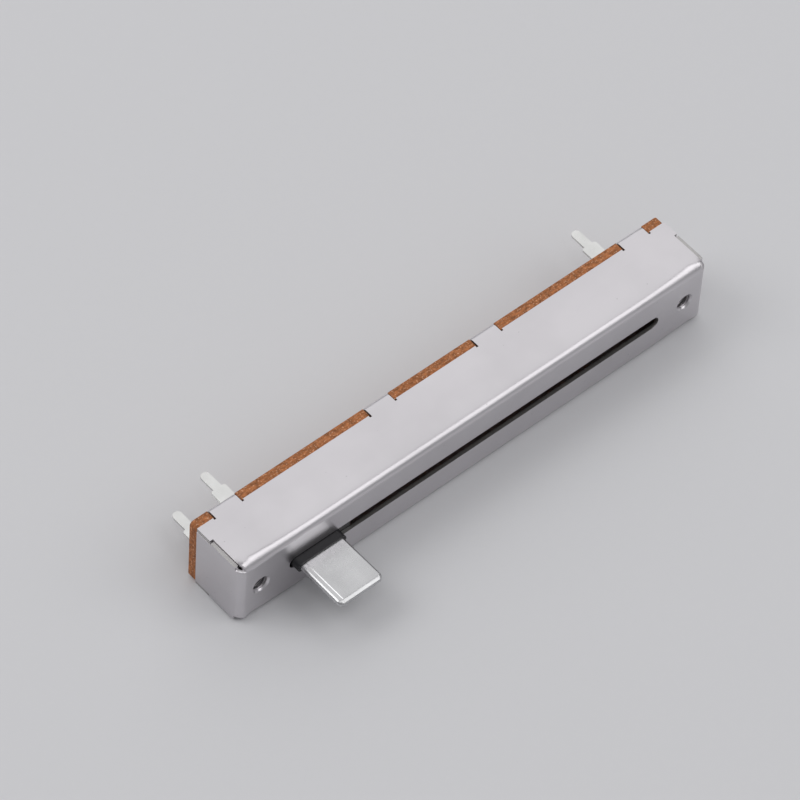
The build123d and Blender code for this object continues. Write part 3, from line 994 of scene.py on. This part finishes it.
# -------- slider
class SLIDEPOT_OT_lever(bpy.types.Operator):
    """Blank the lever, roll its edges and press its side margin and its tip"""

    bl_idname = "slidepot.lever"
    bl_label = "Lever"

    def execute(self, context):
        settings = context.scene.slide_pot.lever
        low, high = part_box("lever")
        lever = new_block("blanked_lever", low, high)
        with editing(lever, "EDGE"):
            round_edges(
                lever,
                settings.corner_radius,
                12,
                lambda edge: runs_along(edge, 2) and near(middle(edge).y, low.y),
            )

        notch_y = (high.y + settings.anchor_start) / 2
        for x in (low.x, high.x):
            cut_away(lever, new_cutter("notch_cutter", (x, notch_y, 0), settings.notch_radius, "Z"))

        def rims_a_broad_face(edge):
            normals = [face.normal for face in edge.link_faces]
            return max(abs(n.z) for n in normals) > 0.9 and min(abs(n.z) for n in normals) < 0.1

        step_start = low.x + settings.margin_width
        step_end = step_start - settings.margin_step
        tip_start = low.y + settings.tip_length
        tip_end = tip_start - settings.tip_slope
        with editing(lever, "EDGE"):
            round_edges(lever, settings.edge_roll, 7, rims_a_broad_face)
            for axis, place in ((0, step_start), (0, step_end), (1, tip_start)):
                cut_across(axis, place, threshold=WELD)
        for vertex in lever.data.vertices:
            drop = settings.margin_drop * ramp(vertex.co.x, step_start, step_end)
            drop += settings.tip_drop * ramp(vertex.co.y, tip_start, tip_end)
            vertex.co.z *= 1 - drop / high.z
        dress(lever, nickel_plated_blade(settings.colour))
        smooth(lever, 25)
        hand_in(lever, "slider", "nickel_plated_steel", "lever")
        return {"FINISHED"}


class SLIDEPOT_OT_carriage(bpy.types.Operator):
    """Finish the moulded carriage, its wiper contact and its drag spring"""

    bl_idname = "slidepot.carriage"
    bl_label = "Carriage"

    def execute(self, context):
        settings = context.scene.slide_pot.slider
        carriage = copy_of_node("carriage", "moulded_carriage")
        ease_edges(carriage, settings.edge_ease)
        dress(carriage, moulded_acetal(settings.acetal_colour))
        smooth(carriage)
        hand_in(carriage, "slider", "acetal", "carriage")
        bronze = rolled_strip("rolled_phosphor_bronze", settings.bronze_colour, 0.28)
        dress_node("wiper_contact", bronze)
        dress_node("drag_spring", rolled_strip("bright_spring_steel", settings.spring_colour, 0.3))
        return {"FINISHED"}


# -------- stage
def looking_at(position, target, roll=0.0):
    """The matrix of a camera or lamp at position that looks at target, rolled about its view."""
    back = (position - target).normalized()
    side = Vector((-back.y, back.x, 0)).normalized()
    rise = back.cross(side)
    right = math.cos(roll) * side + math.sin(roll) * rise
    up = math.cos(roll) * rise - math.sin(roll) * side
    turned = Matrix((right, up, back)).transposed()
    return Matrix.LocRotScale(position, turned.to_quaternion(), None)


def add_softbox(name, direction, width, height, radiance):
    """A rectangular lamp that shows its given radiance, 1 being paper white."""
    position = CAMERA_TARGET + Vector(direction).normalized() * SOFTBOX_DISTANCE
    bpy.ops.object.light_add(type="AREA", location=position)
    lamp = bpy.context.object
    lamp.name = name
    lamp.matrix_world = looking_at(position, CAMERA_TARGET)
    lamp.data.shape = "RECTANGLE"
    lamp.data.size, lamp.data.size_y = width, height
    lamp.data.energy = radiance * math.pi * width * height


class SLIDEPOT_OT_stage(bpy.types.Operator):
    """Lay a pale floor, hang the soft lamps and set up the camera"""

    bl_idname = "slidepot.stage"
    bl_label = "Stage"

    def execute(self, context):
        settings = context.scene.slide_pot.stage
        bpy.ops.object.select_all(action="DESELECT")
        bpy.ops.mesh.primitive_plane_add(size=settings.floor_size)
        floor = context.object
        floor.name = "pale_floor"
        floor.data.transform(Matrix.Translation((0, 0, CAD_LOW.z)))
        dress(floor, matt_paper(settings.floor_colour))

        world = bpy.data.worlds.new("studio_surround")
        world.use_nodes = True
        background = world.node_tree.nodes["Background"]
        background.inputs["Color"].default_value = rgba(settings.surround_colour)
        context.scene.world = world

        for softbox in SOFTBOXES:
            add_softbox(*softbox)

        azimuth, elevation = math.radians(CAMERA_AZIMUTH), math.radians(CAMERA_ELEVATION)
        back = Vector(
            (
                math.sin(azimuth) * math.cos(elevation),
                -math.cos(azimuth) * math.cos(elevation),
                math.sin(elevation),
            )
        )
        bpy.ops.object.camera_add()
        camera = context.object
        camera.name = "product_camera"
        position = CAMERA_TARGET + back * CAMERA_DISTANCE
        camera.matrix_world = looking_at(position, CAMERA_TARGET, math.radians(CAMERA_ROLL))
        camera.data.lens, camera.data.sensor_width = CAMERA_LENS, CAMERA_SENSOR
        camera.data.clip_end = CAMERA_REACH
        context.scene.camera = camera
        context.scene.view_settings.view_transform = "Standard"
        return {"FINISHED"}


# -------- add-on
PIECE_OPERATORS = (
    SLIDEPOT_OT_cover,
    SLIDEPOT_OT_board,
    SLIDEPOT_OT_prints,
    SLIDEPOT_OT_terminals,
    SLIDEPOT_OT_eyelets,
    SLIDEPOT_OT_lever,
    SLIDEPOT_OT_carriage,
    SLIDEPOT_OT_stage,
)


class SLIDEPOT_PT_panel(bpy.types.Panel):
    """Lists the pieces, in the order in which they are made"""

    bl_label = "Slide Potentiometer"
    bl_idname = "SLIDEPOT_PT_panel"
    bl_space_type = "VIEW_3D"
    bl_region_type = "UI"
    bl_category = "Slide Pot"

    def draw(self, context):
        for operator in PIECE_OPERATORS:
            self.layout.operator(operator.bl_idname)
        for group in SlidePotSettings.__annotations__:
            settings = getattr(context.scene.slide_pot, group)
            box = self.layout.box()
            for name in type(settings).__annotations__:
                box.prop(settings, name)


SETTING_GROUPS = (
    CoverSettings,
    BoardSettings,
    LeverSettings,
    TerminalSettings,
    EyeletSettings,
    SliderSettings,
    PrintSettings,
    StageSettings,
    SlidePotSettings,
)
CLASSES = (*SETTING_GROUPS, *PIECE_OPERATORS, SLIDEPOT_PT_panel)


def register():
    for made in CLASSES:
        bpy.utils.register_class(made)
    bpy.types.Scene.slide_pot = PointerProperty(type=SlidePotSettings)


def unregister():
    del bpy.types.Scene.slide_pot
    for made in reversed(CLASSES):
        bpy.utils.unregister_class(made)


def main():
    """Makes every piece and the stage."""
    register()
    for operator in PIECE_OPERATORS:
        group, name = operator.bl_idname.split(".")
        getattr(getattr(bpy.ops, group), name)()


if __name__ == "__main__":
    main()
